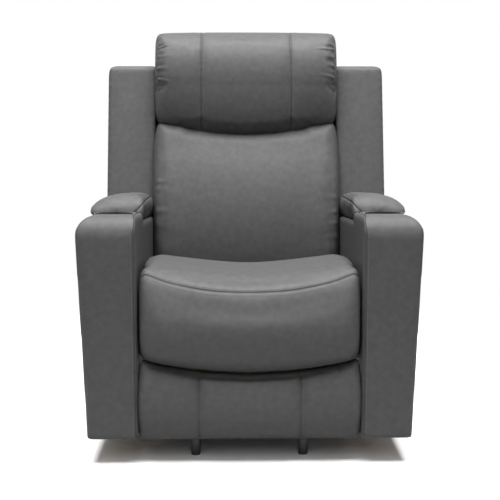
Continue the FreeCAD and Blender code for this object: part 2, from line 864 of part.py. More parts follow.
# Back
def back_parts():
    half = inner_half - side_gap - 2
    rear = back_frame_front - webbing_thickness - face_gap

    def lumbar(front, inset, high):
        return [
            (rear, lumbar_low + inset),
            (rear, high - inset),
            ((-75, high + 4 - inset), (-106, high - 10 - inset)),
            ((-front, (lumbar_low + high) / 2), (-100, lumbar_low + 22 + inset)),
            ((-78, lumbar_low + 4 + inset), (-50, lumbar_low + inset)),
        ]

    def lumbar_across(x):
        edge = drawn_in(x / half)
        across = (x / half) ** 2
        return lumbar(lumbar_front - 38 * edge - 4 * across, 10 * edge, lumbar_high + pillow_bow * across)

    cushion = crowned(marks_across(half), lumbar_across, back_at)

    def pillow(front, inset, low):
        return [
            (rear, low + inset),
            (rear, pillow_high - 12 - inset),
            ((-64, pillow_high + 2 - inset), (-106, pillow_high - 8 - inset)),
            ((-front, (low + pillow_high) / 2 - 12), (-112, low + 8 + inset)),
            ((-84, low - 2 + inset), (-50, low + inset)),
        ]

    def pillow_across(x):
        edge = drawn_in(x / half)
        low = pillow_low + pillow_bow * (x / half) ** 2
        return pillow(pillow_front - 36 * edge - seam_dip(x, pillow_seam), 12 * edge, low)

    headrest = crowned(marks_across(half, pillow_seam), pillow_across, back_at)

    corner = wing_corner * (1 - math.sqrt(0.5))
    wing_path = [
        (-back_half, 0),
        ((0, -back_half), (back_half, 0)),
        (back_half, wing_height - wing_corner),
        ((back_half - corner, wing_height - corner), (back_half - wing_corner, wing_height)),
        (wing_corner - back_half, wing_height),
        ((corner - back_half, wing_height - corner), (-back_half, wing_height - wing_corner)),
    ]
    wing_inner = inner_half - wing_gap
    wing = prism(wing_path, wing_inner, outer_half, back_at)

    cover_half = outer_half - 4
    back_rear = back_half + cover_thickness
    cover_edge = cover_top - cover_thickness
    cover = fuse(
        box(-cover_half, cover_half, back_half, back_rear, cover_low, cover_top, back_at),
        box(-wing_inner, wing_inner, back_frame_front, back_half, cover_edge, cover_top, back_at),
    )
    post_outer = back_post_inner + back_post
    front, back = back_frame_front, back_frame_rear
    post = box(back_post_inner, post_outer, front, back, back_post_low, back_post_top, back_at)
    parts = [post, mirrored(post)]
    inner = back_post_inner
    for low in back_rails:
        parts.append(box(-inner, inner, front, back, low, low + back_rail_height, back_at))
    for low in back_stays:
        arm = box(post_outer, wing_inner, front, back, low, low + back_stay_height, back_at)
        stay = box(inner, post_outer, back, back_half, low, low + back_stay_height, back_at)
        parts += [arm, mirrored(arm), stay, mirrored(stay)]
    frame = Part.makeCompound(parts)

    straps = []
    strap_front = front - webbing_thickness
    for index in range(5):
        low = strap_low + index * strap_pitch
        straps.append(box(-post_outer, post_outer, strap_front, front, low, low + strap_width, back_at))

    bracket_foot = (back_bracket_shift, 0)
    bracket_top = (back_bracket_shift, back_bracket_length)
    bracket = fuse(
        bar(bracket_foot, bracket_top, back_bracket_half, post_outer, post_outer + plate, back_at),
        cross_pin((0, 0), post_outer + plate, side_plate + plate, back_pin, back_at),
    )
    tip = into_back(polar(back_pivot, recline_crank, recline_crank_angle))
    top = (back_frame_rear + link_half, 74)
    outer = cheek_x + plate
    flange_rear = back_frame_rear + plate
    ahead = box(-inner_half, 0, -back_half, back_frame_rear, -inner_half, inner_half, back_at)
    crank = fuse(
        bar(top, tip, link_half, -side_motor - outer, -side_motor - cheek_x, back_at).cut(ahead),
        bar(top, tip, link_half, -side_motor + cheek_x, -side_motor + outer, back_at).cut(ahead),
        box(-side_motor - outer, -side_motor + outer, back_frame_rear, flange_rear, 40, 90, back_at),
        cross_pin(tip, -side_motor - outer, -side_motor + outer, crank_pin, back_at),
    )
    shapes = {
        "back_cushion": cushion,
        "headrest_pillow": headrest,
        "right_wing": wing,
        "left_wing": mirrored(wing),
        "back_cover": cover,
        "back_frame": frame,
        "back_webbing": Part.makeCompound(straps),
        "back_brackets": pair(bracket),
        "recline_crank": crank,
    }
    return {name: leaned(shape) for name, shape in shapes.items()}


def recline_actuator_parts():
    nose = polar(back_pivot, recline_crank, recline_crank_angle)
    eye = crank_pin + recline_eye_play
    motor, track, rod = actuator(recline_front, nose, -side_motor, -1, 78, 218, 168, rod_eye_half, 24, eye)
    return {"recline_motor": motor, "recline_track": track, "recline_rod": rod}


# Controls
def control_parts(outer_side):
    box_x = side_plate - 114.0
    low = seat_base - 2 * spring_wire - cross_rail_height - rail_drop
    control = box(box_x, box_x + 80, rail_rear - 78, rail_rear + 2, low - 42, low)
    inlet = Part.makeCylinder(4, 14, chair_at(box_x + 40, rail_rear - 38, low - 42))
    control = control.cut(inlet)

    tilt = math.degrees(math.atan(arm_taper / (arm_height - arm_outer_round - floor_gap)))
    width, tall = switch_size
    pocket_depth = 16.0

    def on_side(shape):
        shape = shape.copy()
        shape.rotate(V(0, 0, 0), V(0, 1, 0), tilt)
        shape.translate(chair_at(outer_x(switch_height), switch_depth, switch_height))
        return shape

    pocket = Part.makeBox(pocket_depth + 20, width, tall, V(-pocket_depth, -width / 2, -tall / 2))
    skin = 3.0
    clear = 0.2
    panel = Part.makeBox(
        pocket_depth + switch_proud - clear,
        width - 2 * clear,
        tall - 2 * clear,
        V(clear - pocket_depth, clear - width / 2, clear - tall / 2),
    )
    cavity = Part.makeBox(
        pocket_depth + switch_proud - skin,
        width - 2 * skin,
        tall - 2 * skin,
        V(-pocket_depth, skin - width / 2, skin - tall / 2),
    )
    panel = panel.cut(cavity)
    buttons = {}
    names = {"lift": (-1, 1), "lower": (-1, -1), "recline": (1, 1), "upright": (1, -1)}
    for name, (across, up) in names.items():
        y = across * button_pitch / 2
        z = up * button_pitch / 2
        panel = panel.cut(Part.makeCylinder(button_radius + clear, 40, V(-20, y, z), V(1, 0, 0)))
        collar_end = switch_proud - skin - face_gap
        stem_length = face_gap + skin + button_proud
        stem = Part.makeCylinder(button_radius, stem_length, V(collar_end, y, z), V(1, 0, 0))
        collar = Part.makeCylinder(button_radius + 2, 2, V(collar_end - 2, y, z), V(1, 0, 0))
        buttons[name + "_button"] = on_side(fuse(stem, collar))
    outer_side = outer_side.cut(on_side(pocket))
    return outer_side, {"control_box": control, "switch_plate": on_side(panel), **buttons}


def all_parts():
    parts = {}
    for make in (
        base_parts,
        lift_parts,
        lift_actuator_parts,
        seat_parts,
        seat_cushion_part,
        footrest_parts,
        footrest_actuator_parts,
        back_parts,
        recline_actuator_parts,
    ):
        parts.update(make())
    arm = arm_parts()
    parts["arm_bases"] = pair(arm.pop("arm_base"))
    parts["lid_hinges"] = pair(arm.pop("lid_hinge"))
    for name, shape in arm.items():
        parts["right_" + name] = shape
        parts["left_" + name] = mirrored(shape)
    parts["right_outer_panel"], controls = control_parts(arm["outer_panel"])
    parts.update(controls)
    return parts


os.makedirs("parts", exist_ok=True)
for node, solid in all_parts().items():
    solid.exportStep("parts/" + node + ".step")
    state = "valid" if solid.isValid() else "not valid"
    print(node, len(solid.Solids), state, round(solid.Volume / 1000), "cm3")
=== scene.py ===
import json
import math

import bmesh
import bpy
import numpy as np
from mathutils import Matrix, Vector
from mathutils.bvhtree import BVHTree


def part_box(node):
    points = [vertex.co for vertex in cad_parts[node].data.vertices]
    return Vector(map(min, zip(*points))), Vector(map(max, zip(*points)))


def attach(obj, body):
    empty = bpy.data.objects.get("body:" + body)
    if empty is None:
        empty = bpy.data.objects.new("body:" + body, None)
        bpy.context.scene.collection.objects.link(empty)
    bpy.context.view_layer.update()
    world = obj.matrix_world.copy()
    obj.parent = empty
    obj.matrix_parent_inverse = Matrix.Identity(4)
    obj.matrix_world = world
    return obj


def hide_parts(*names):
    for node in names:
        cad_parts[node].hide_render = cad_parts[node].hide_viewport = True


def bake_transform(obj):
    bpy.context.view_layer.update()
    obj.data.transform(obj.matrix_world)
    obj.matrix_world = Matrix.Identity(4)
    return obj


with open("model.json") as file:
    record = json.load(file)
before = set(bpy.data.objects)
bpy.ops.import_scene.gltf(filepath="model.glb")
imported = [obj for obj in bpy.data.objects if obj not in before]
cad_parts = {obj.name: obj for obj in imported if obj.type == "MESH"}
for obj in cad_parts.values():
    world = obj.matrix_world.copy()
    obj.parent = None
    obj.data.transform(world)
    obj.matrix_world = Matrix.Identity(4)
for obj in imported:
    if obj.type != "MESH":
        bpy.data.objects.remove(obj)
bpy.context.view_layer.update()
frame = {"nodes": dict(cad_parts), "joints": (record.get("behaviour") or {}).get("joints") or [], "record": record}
nodes = frame["nodes"]
slotOf = {part["node"]: part["material_slot"] for part in frame["record"]["subparts"]}
print("frame loaded:", len(nodes), "nodes")

# places on the chair, read from the frame apart from the lean of the back
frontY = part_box("right_front_panel")[0].y
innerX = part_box("right_inner_panel")[0].x
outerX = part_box("right_outer_panel")[1].x
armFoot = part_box("right_front_panel")[0].z
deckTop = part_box("right_deck")[1].z
lidLow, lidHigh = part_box("right_lid_pad")
padLow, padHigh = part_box("footrest_pad")
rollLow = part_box("calf_roll")[0]
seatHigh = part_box("seat_cushion")[1]
hinge = {j["name"]: Vector(j["pos_m"]) for j in frame["joints"] if "pos_m" in j}
legPivot = hinge["footrest"]
backPivot = hinge["recline"]
backLean = math.radians(14)


def backPoint(x, ahead, up):  # a place on the leaning back, ahead of its pivot plane and up along it
    y = backPivot.y - ahead * math.cos(backLean) + up * math.sin(backLean)
    z = backPivot.z + ahead * math.sin(backLean) + up * math.cos(backLean)
    return Vector((x, y, z))


backFacing = Vector((0, math.cos(backLean), -math.sin(backLean)))  # looking into the back from the front
upBack = Vector((0, math.sin(backLean), math.cos(backLean)))  # up along the back
backWay = np.array(backFacing)
upWay = np.array(upBack)


# materials
def newMaterial(name, colour, roughness, metallic=0.0):
    material = bpy.data.materials.new(name)
    material.use_nodes = True
    shader = material.node_tree.nodes["Principled BSDF"]
    shader.inputs["Base Color"].default_value = (*colour, 1)
    shader.inputs["Roughness"].default_value = roughness
    shader.inputs["Metallic"].default_value = metallic
    return material, shader


def addNode(material, kind, **sockets):
    node = material.node_tree.nodes.new(kind)
    for socket, value in sockets.items():
        node.inputs[socket].default_value = value
    return node


def addBump(material, shader, height, distance, strength, under=None):
    bump = addNode(material, "ShaderNodeBump", Strength=strength, Distance=distance)
    link = material.node_tree.links.new
    link(height, bump.inputs["Height"])
    if under is not None:
        link(under.outputs["Normal"], bump.inputs["Normal"])
    link(bump.outputs["Normal"], shader.inputs["Normal"])
    return bump


def addRamp(material, source, stops):  # source value to colours, as (place, colour) stops
    ramp = addNode(material, "ShaderNodeValToRGB")
    ramp.color_ramp.elements[0].position = stops[0][0]
    ramp.color_ramp.elements[0].color = (*stops[0][1], 1)
    ramp.color_ramp.elements[1].position = stops[1][0]
    ramp.color_ramp.elements[1].color = (*stops[1][1], 1)
    material.node_tree.links.new(source, ramp.inputs["Fac"])
    return ramp


leatherLook = {
    "dark": (0.06, 0.06, 0.06),
    "light": (0.076, 0.076, 0.076),
    # seam: the colour of the shade painted along the sunk seams
    "seam": (0.01, 0.01, 0.01),
    "roughness": 0.5,
    "specular": 0.2,
    "grain": 760,
    "grainHeight": 0.0003,
    "grainStrength": 0.6,
    "fold": 11,
    "foldHeight": 0.004,
    "foldStrength": 0.25,
    "cloud": 60,
}


def makeLeather():
    material, shader = newMaterial("greyLeatherette", leatherLook["light"], leatherLook["roughness"])
    shader.inputs["Specular IOR Level"].default_value = leatherLook["specular"]
    link = material.node_tree.links.new
    coords = addNode(material, "ShaderNodeTexCoord").outputs["Object"]
    pebble = addNode(material, "ShaderNodeTexVoronoi", Scale=leatherLook["grain"])
    fold = addNode(material, "ShaderNodeTexNoise", Scale=leatherLook["fold"], Detail=3)
    cloud = addNode(material, "ShaderNodeTexNoise", Scale=leatherLook["cloud"], Detail=4)
    paintedSeamShade = addNode(material, "ShaderNodeAttribute")
    paintedSeamShade.attribute_name = "paintedSeamShade"
    for texture in (pebble, fold, cloud):
        link(coords, texture.inputs["Vector"])
    stops = ((0.3, leatherLook["dark"]), (0.7, leatherLook["light"]))
    tint = addRamp(material, cloud.outputs["Fac"], stops)
    # painted shade: the colour turns to the seam colour along the seams
    shade = addNode(material, "ShaderNodeMix")
    shade.data_type = "RGBA"
    link(paintedSeamShade.outputs["Fac"], shade.inputs["Factor"])
    link(tint.outputs["Color"], shade.inputs["A"])
    shade.inputs["B"].default_value = (*leatherLook["seam"], 1)
    link(shade.outputs["Result"], shader.inputs["Base Color"])
    height, strength = leatherLook["foldHeight"], leatherLook["foldStrength"]
    soft = addBump(material, shader, fold.outputs["Fac"], height, strength)
    height, strength = leatherLook["grainHeight"], leatherLook["grainStrength"]
    addBump(material, shader, pebble.outputs["Distance"], height, strength, soft)
    return material


def makeWood():
    material, shader = newMaterial("framePine", (0.45, 0.31, 0.18), 0.65)
    link = material.node_tree.links.new
    coords = addNode(material, "ShaderNodeTexCoord").outputs["Object"]
    lines = addNode(material, "ShaderNodeMapping", Scale=(3, 40, 40))
    ring = addNode(material, "ShaderNodeTexNoise", Scale=2.2, Detail=5, Distortion=0.6)
    link(coords, lines.inputs["Vector"])
    link(lines.outputs["Vector"], ring.inputs["Vector"])
    stops = ((0.3, (0.36, 0.22, 0.11)), (0.7, (0.55, 0.4, 0.25)))
    tint = addRamp(material, ring.outputs["Fac"], stops)
    link(tint.outputs["Color"], shader.inputs["Base Color"])
    addBump(material, shader, ring.outputs["Fac"], 0.0006, 0.5)
    return material


def makePaint(name, dark, light, roughness, grain, height):  # paint, moulded plastic or rubber
    material, shader = newMaterial(name, (light,) * 3, roughness)
    link = material.node_tree.links.new
    coords = addNode(material, "ShaderNodeTexCoord").outputs["Object"]
    cloud = addNode(material, "ShaderNodeTexNoise", Scale=35, Detail=5)
    peel = addNode(material, "ShaderNodeTexNoise", Scale=grain, Detail=2)
    link(coords, cloud.inputs["Vector"])
    link(coords, peel.inputs["Vector"])
    tint = addRamp(material, cloud.outputs["Fac"], ((0.3, (dark,) * 3), (0.7, (light,) * 3)))
    link(tint.outputs["Color"], shader.inputs["Base Color"])
    spread = addNode(material, "ShaderNodeMapRange")
    spread.inputs["To Min"].default_value = roughness - 0.1
    spread.inputs["To Max"].default_value = roughness + 0.1
    link(cloud.outputs["Fac"], spread.inputs["Value"])
    link(spread.outputs["Result"], shader.inputs["Roughness"])
    addBump(material, shader, peel.outputs["Fac"], height, 0.5)
    return material


def makeBareSteel(name, colour, roughness, scale):  # drawn or ground steel, with fine lines along it
    material, shader = newMaterial(name, colour, roughness, 1.0)
    link = material.node_tree.links.new
    coords = addNode(material, "ShaderNodeTexCoord").outputs["Object"]
    lines = addNode(material, "ShaderNodeMapping", Scale=scale)
    streak = addNode(material, "ShaderNodeTexNoise", Scale=8, Detail=4)
    link(coords, lines.inputs["Vector"])
    link(lines.outputs["Vector"], streak.inputs["Vector"])
    spread = addNode(material, "ShaderNodeMapRange")
    spread.inputs["To Min"].default_value = roughness - 0.08
    spread.inputs["To Max"].default_value = roughness + 0.12
    link(streak.outputs["Fac"], spread.inputs["Value"])
    link(spread.outputs["Result"], shader.inputs["Roughness"])
    addBump(material, shader, streak.outputs["Fac"], 0.0002, 0.4)
    return material


def makeWebbing():
    material, shader = newMaterial("elasticWebbing", (0.09, 0.078, 0.062), 0.85)
    link = material.node_tree.links.new
    coords = addNode(material, "ShaderNodeTexCoord").outputs["Object"]
    across = addNode(material, "ShaderNodeTexWave", Scale=180)
    up = addNode(material, "ShaderNodeTexWave", Scale=120)
    up.bands_direction = "Z"
    both = addNode(material, "ShaderNodeMath")
    both.operation = "MULTIPLY"
    link(coords, across.inputs["Vector"])
    link(coords, up.inputs["Vector"])
    link(across.outputs["Fac"], both.inputs[0])
    link(up.outputs["Fac"], both.inputs[1])
    stops = ((0.0, (0.045, 0.038, 0.03)), (0.8, (0.12, 0.105, 0.085)))
    tint = addRamp(material, both.outputs["Value"], stops)
    link(tint.outputs["Color"], shader.inputs["Base Color"])
    addBump(material, shader, both.outputs["Value"], 0.0008, 0.7)
    return material


finishes = {
    "leatherette": makeLeather(),
    "frame_wood": makeWood(),
    "black_steel": makePaint("blackPowderCoat", 0.012, 0.022, 0.42, 900, 0.0002),
    "spring_steel": makeBareSteel("springWire", (0.4, 0.4, 0.41), 0.38, (1, 12, 12)),
    "rod_steel": makeBareSteel("groundRod", (0.6, 0.6, 0.61), 0.24, (30, 2, 30)),
    "motor_plastic": makePaint("motorPlastic", 0.02, 0.03, 0.48, 1600, 0.0003),
    "foot_plastic": makePaint("footPlastic", 0.003, 0.006, 0.5, 1400, 0.0002),
    "stop_rubber": makePaint("stopRubber", 0.012, 0.02, 0.8, 700, 0.0003),
    "webbing": makeWebbing(),
    "cup_finish": makePaint("cupGloss", 0.01, 0.014, 0.16, 300, 0.00002),
    "bin_lining": makePaint("binLining", 0.018, 0.026, 0.6, 1100, 0.0004),
    "switch_plastic": makePaint("switchPlastic", 0.016, 0.022, 0.42, 1500, 0.0002),
    "button_plastic": makePaint("buttonPlastic", 0.06, 0.08, 0.45, 1500, 0.0002),
}
threadFinish = makePaint("seamThread", 0.075, 0.11, 0.6, 3000, 0.0001)
for name, node in nodes.items():
    node.data.materials.clear()
    node.data.materials.append(finishes[slotOf[name]])
print("materials ready:", len(finishes) + 1)


# tools for the upholstery
def points(piece):
    out = np.empty(len(piece.data.vertices) * 3)
    piece.data.vertices.foreach_get("co", out)
    return out.reshape(-1, 3)


def outwards(piece):
    out = np.empty(len(piece.data.vertices) * 3)
    piece.data.vertex_normals.foreach_get("vector", out)
    return out.reshape(-1, 3)


def setPoints(piece, places):
    piece.data.vertices.foreach_set("co", places.ravel())
    piece.data.update()


def applyModifiers(piece):
    graph = bpy.context.evaluated_depsgraph_get()
    done = bpy.data.meshes.new_from_object(piece.evaluated_get(graph))
    done.name = piece.name
    piece.modifiers.clear()
    piece.data = done


def newPiece(name, bm):
    mesh = bpy.data.meshes.new(name)
    bm.to_mesh(mesh)
    bm.free()
    piece = bpy.data.objects.new(name, mesh)
    bpy.context.scene.collection.objects.link(piece)
    return piece


def softCopy(name, *sources, voxel, bridge=0.0):  # one closed skin round copies of the solids
    bm = bmesh.new()
    for source in sources:
        bm.from_mesh(nodes[source].data)
    bmesh.ops.remove_doubles(bm, verts=bm.verts, dist=1e-5)
    bm.normal_update()
    for vert in bm.verts:
        vert.co += vert.normal * bridge
    piece = newPiece(name, bm)
    remesh = piece.modifiers.new("skin", "REMESH")
    remesh.mode = "VOXEL"
    remesh.voxel_size = voxel
    applyModifiers(piece)
    shrink(piece, bridge)
    return piece


def relax(piece, times):
    bm = bmesh.new()
    bm.from_mesh(piece.data)
    for _ in range(times):
        bmesh.ops.smooth_vert(
            bm, verts=bm.verts, factor=0.5, use_axis_x=True, use_axis_y=True, use_axis_z=True
        )
    bm.to_mesh(piece.data)
    bm.free()


def shrink(piece, amount):
    setPoints(piece, points(piece) - outwards(piece) * amount)


def crown(piece, facing, height, power=8):  # swells the face that looks one way, most in its middle
    places, looks = points(piece), outwards(piece)
    way = np.array(Vector(facing).normalized())
    share = np.clip(looks @ way, 0, 1) ** power
    front = share > 0.5
    low, high = places[front].min(axis=0), places[front].max(axis=0)
    across = (places - (low + high) / 2) / np.maximum((high - low) / 2, 1e-6)
    across[:, np.argmax(np.abs(way))] = 0
    bulge = np.prod(1 - np.clip(np.abs(across), 0, 1) ** 2.5, axis=1)
    setPoints(piece, places + way * (height * share * bulge)[:, None])


def rising(values, start, over):  # 0 up to start, then evenly up to 1
    return np.clip((values - start) / over, 0, 1)


def stretch(piece, way, start, full, amount):  # moves an end; start and full are short of its tip
    places = points(piece)
    way = np.array(Vector(way).normalized())
    reach = places @ way
    t = rising(reach, reach.max() - start, start - full)
    setPoints(piece, places + way * (amount * t * t * (3 - 2 * t))[:, None])


def fillDip(piece, fromY, toY, step=0.016):  # lays the cover straight over a dip across it
    places, looks = points(piece), outwards(piece)
    top = (looks[:, 2] > 0.15) & (places[:, 1] > fromY) & (places[:, 1] < toY)
    for x in np.arange(places[:, 0].min(), places[:, 0].max() + step, step):
        here = np.nonzero(top & (np.abs(places[:, 0] - x) <= step / 2))[0]
        hull = []
        for i in here[np.argsort(places[here, 1])]:
            while len(hull) > 1:
                a, b, c = places[hull[-2]], places[hull[-1]], places[i]
                if (b[2] - a[2]) * (c[1] - a[1]) > (c[2] - a[2]) * (b[1] - a[1]):
                    break
                hull.pop()
            hull.append(i)
        if len(hull) > 1:
            rise = np.interp(places[here, 1], places[hull, 1], places[hull, 2])
            places[here, 2] = np.maximum(places[here, 2], rise)
    setPoints(piece, places)


def nearLine(places, line):  # each point's distance to a line, and how far along the line that is
    steps = np.diff(line, axis=0)
    lengths = np.linalg.norm(steps, axis=1)
    run = np.concatenate([[0], np.cumsum(lengths)])
    near = np.full(len(places), 1e9)
    along = np.zeros(len(places))
    for i, step in enumerate(steps):
        t = np.clip((places - line[i]) @ step / max(lengths[i] ** 2, 1e-12), 0, 1)
        far = np.linalg.norm(places - line[i] - t[:, None] * step, axis=1)
        closer = far < near
        near[closer] = far[closer]
        along[closer] = run[i] + t[closer] * lengths[i]
    return near, along


def roundOff(piece, corner, inA, inB, radius):  # rolls over the edge at corner; inA and inB point inwards
    places = points(piece)
    a, b = np.array(Vector(inA).normalized()), np.array(Vector(inB).normalized())
    u = (places - np.array(corner)) @ a - radius
    v = (places - np.array(corner)) @ b - radius
    far = np.hypot(u, v)
    out = (u < 0) & (v < 0) & (far > radius)
    pull = np.where(out, radius / np.maximum(far, 1e-9) - 1, 0)
    setPoints(piece, places + (u * pull)[:, None] * a + (v * pull)[:, None] * b)


def fillSides(piece, way, start, radius):  # brings the front as far forward beside start as in the middle
    places, looks = points(piece), outwards(piece)
    way = np.array(Vector(way).normalized())
    out, reach, up = np.abs(places[:, 0]), places @ way, places @ upWay
    levels = np.linspace(up.min(), up.max(), 60)
    middle = out < start
    front = [reach[middle & (np.abs(up - level) < 0.012)].max(initial=-9) for level in levels]
    past = np.clip(out - (out.max() - radius), 0, radius)
    full = np.interp(up, levels, front) - radius + np.sqrt(radius**2 - past**2)
    gain = np.where((out >= start) & (looks @ way > 0.15), np.maximum(full - reach, 0), 0)
    setPoints(piece, places + way * gain[:, None])


stuffing = {"pressure": 4, "quality": 3, "frames": 14}


def puff(piece, cap, slack=0.015, pull=0.003, slide=0.006):  # stuffing swells the skin, within limits
    start, looks = points(piece), outwards(piece)
    cloth = piece.modifiers.new("stuffing", "CLOTH")
    cloth.settings.use_pressure = True
    cloth.settings.uniform_pressure_force = stuffing["pressure"]
    cloth.settings.effector_weights.gravity = 0
    cloth.settings.quality = stuffing["quality"]
    cloth.settings.shrink_min = -slack  # more cloth than the form needs, so it puckers
    cloth.collision_settings.use_collision = False
    cloth.point_cache.frame_start = 1
    cloth.point_cache.frame_end = stuffing["frames"]
    for step in range(1, stuffing["frames"] + 1):
        bpy.context.scene.frame_set(step)
    applyModifiers(piece)
    bpy.context.scene.frame_set(1)
    moved = points(piece) - start
    rise = np.sum(moved * looks, axis=1)
    drift = moved - looks * rise[:, None]
    far = np.linalg.norm(drift, axis=1, keepdims=True)
    drift *= np.minimum(1, slide / np.maximum(far, 1e-9))
    setPoints(piece, start + looks * np.clip(rise, -pull, cap)[:, None] + drift)
    print(piece.name, "puffed, middling rise", round(float(np.median(rise)) * 1000, 1), "mm")


def refine(piece):
    smooth = piece.modifiers.new("refine", "SUBSURF")
    smooth.levels = 1
    smooth.render_levels = 1
    applyModifiers(piece)


def smoothLine(corners, spacing):  # evenly spaced places on a smooth curve through a few corners
    corners = [Vector(c) for c in corners]
    dense = []
    for i in range(len(corners) - 1):
        a, b = corners[i], corners[i + 1]
        ta = (b - corners[max(i - 1, 0)]) / 2
        tb = (corners[min(i + 2, len(corners) - 1)] - a) / 2
        for t in np.linspace(0, 1, 24, endpoint=False):
            ends = a * (2 * t**3 - 3 * t**2 + 1) + b * (3 * t**2 - 2 * t**3)
            dense.append(ends + ta * (t**3 - 2 * t**2 + t) + tb * (t**3 - t**2))
    dense.append(corners[-1])
    dense = np.array(dense)
    run = np.concatenate([[0], np.cumsum(np.linalg.norm(np.diff(dense, axis=0), axis=1))])
    even = np.linspace(0, run[-1], max(2, round(run[-1] / spacing) + 1))
    return np.stack([np.interp(even, run, dense[:, axis]) for axis in range(3)], axis=1)


def backLine(x, ups, spacing):  # a line up the front of the back
    return smoothLine([backPoint(x, 0.1, up) for up in ups], spacing)


def onSkin(piece, line, towards, off=0.2):  # drops a line onto the piece, looking one way
    tree = BVHTree.FromObject(piece, bpy.context.evaluated_depsgraph_get())
    way = Vector(towards).normalized()
    places, facings = [], []
    for place in line:
        hit, normal, _, _ = tree.ray_cast(Vector(place) - way * off, way, 2 * off)
        if hit is None:
            hit, normal, _, _ = tree.find_nearest(Vector(place))
        places.append(hit)
        facings.append(normal)
    return np.array(places), np.array(facings)


seamsOf = {}  # the sewn lines of each piece, along which its finish paints shade into the colour


def densify(piece, line, reach, cuts):  # finer faces along a seam
    near = nearLine(points(piece), line)[0] < reach
    bm = bmesh.new()
    bm.from_mesh(piece.data)
    bm.verts.ensure_lookup_table()
    edges = [e for e in bm.edges if near[e.verts[0].index] and near[e.verts[1].index]]
    bmesh.ops.subdivide_edges(bm, edges=edges, cuts=cuts, use_grid_fill=True)
    bmesh.ops.triangulate(bm, faces=[f for f in bm.faces if len(f.verts) > 4])
    bm.to_mesh(piece.data)
    bm.free()


def sew(piece, line, width=0.0024, depth=0.0028, valley=0.0015, cuts=1):  # a seam drawn into the skin
    densify(piece, line, width * 4, cuts)
    near = nearLine(points(piece), line)[0]
    drop = depth * np.exp(-((near / width) ** 2)) + valley * np.exp(-((near / (width * 4)) ** 2))
    setPoints(piece, points(piece) - outwards(piece) * drop[:, None])
    seamsOf.setdefault(piece.name, []).append((line, width))


def gather(piece, edge, inward, towards, length, pitch, height, seed):  # little folds in from a seam
    rng = np.random.default_rng(seed)
    places, looks = points(piece), outwards(piece)
    run = np.concatenate([[0], np.cumsum(np.linalg.norm(np.diff(edge, axis=0), axis=1))])
    lift = np.zeros(len(places))
    at = pitch * rng.uniform(0.3, 0.9)
    while at < run[-1]:
        root = np.array([np.interp(at, run, edge[:, axis]) for axis in range(3)])
        along = np.array([np.interp(at + 0.01, run, edge[:, axis]) for axis in range(3)]) - root
        tip = root + np.array(inward) * length * rng.uniform(0.5, 1.2) + along * rng.uniform(-1.6, 1.6)
        near, reach = nearLine(places, onSkin(piece, np.linspace(root, tip, 7), towards)[0])
        width = pitch * rng.uniform(0.22, 0.36)
        fade = np.clip(1 - reach / np.linalg.norm(tip - root), 0, 1) ** 1.4
        ridge = (1 - 2 * (near / width) ** 2) * np.exp(-((near / width) ** 2))
        lift += height * rng.uniform(0.4, 1) * fade * ridge
        at += pitch * rng.uniform(0.6, 1.7)
    setPoints(piece, places + looks * lift[:, None])


def finish(piece, body=None):  # painted shade along the seams, smooth faces, leatherette, and the body it moves with
    places = points(piece)
    # how strongly shade is painted, highest on each seam line
    paintedSeamShade = np.zeros(len(places))
    for line, width in seamsOf.get(piece.name, []):
        paintedSeamShade = np.maximum(paintedSeamShade, np.exp(-((nearLine(places, line)[0] / width) ** 2)))
    shade = piece.data.attributes.new("paintedSeamShade", "FLOAT", "POINT")
    shade.data.foreach_set("value", paintedSeamShade)
    piece.data.materials.clear()
    piece.data.materials.append(finishes["leatherette"])
    piece.data.polygons.foreach_set("use_smooth", [True] * len(piece.data.polygons))
    if body:
        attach(piece, body)
    print(piece.name + ":", sum(len(f.vertices) - 2 for f in piece.data.polygons), "triangles")


thread = {"length": 0.0046, "pitch": 0.0068, "radius": 0.0008}
seamStep, foldStep = 0.006, 0.01  # how far apart the places on a seam and along a folded edge are
fineSeam = {"depth": 0.0022, "valley": 0.0008}


def stitch(name, piece, line, towards, aside, body=None):  # a row of stitches beside a seam
    places, facings = onSkin(piece, smoothLine(line, thread["pitch"]), towards)
    way = np.gradient(places, axis=0)
    beside = np.cross(facings, way)
    beside /= np.maximum(np.linalg.norm(beside, axis=1, keepdims=True), 1e-9)
    places, facings = onSkin(piece, places + beside * aside, towards)
    bm = bmesh.new()
    for i in range(len(places) - 1):
        along = Vector(places[i + 1] - places[i]).normalized()
        side = Vector(facings[i]).cross(along).normalized()
        up = along.cross(side)
        middle = Vector((places[i] + places[i + 1]) / 2) + up * thread["radius"] * 0.3
        turn = Matrix((along, side, up)).transposed().to_4x4()
        size = Matrix.Diagonal((thread["length"] / 2, thread["radius"], thread["radius"], 1))
        place = Matrix.Translation(middle) @ turn @ size
        bmesh.ops.create_icosphere(bm, subdivisions=1, radius=1, matrix=place)
    row = newPiece(name, bm)
    row.data.materials.append(threadFinish)
    row.data.polygons.foreach_set("use_smooth", [True] * len(row.data.polygons))
    if body:
        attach(row, body)
    return row


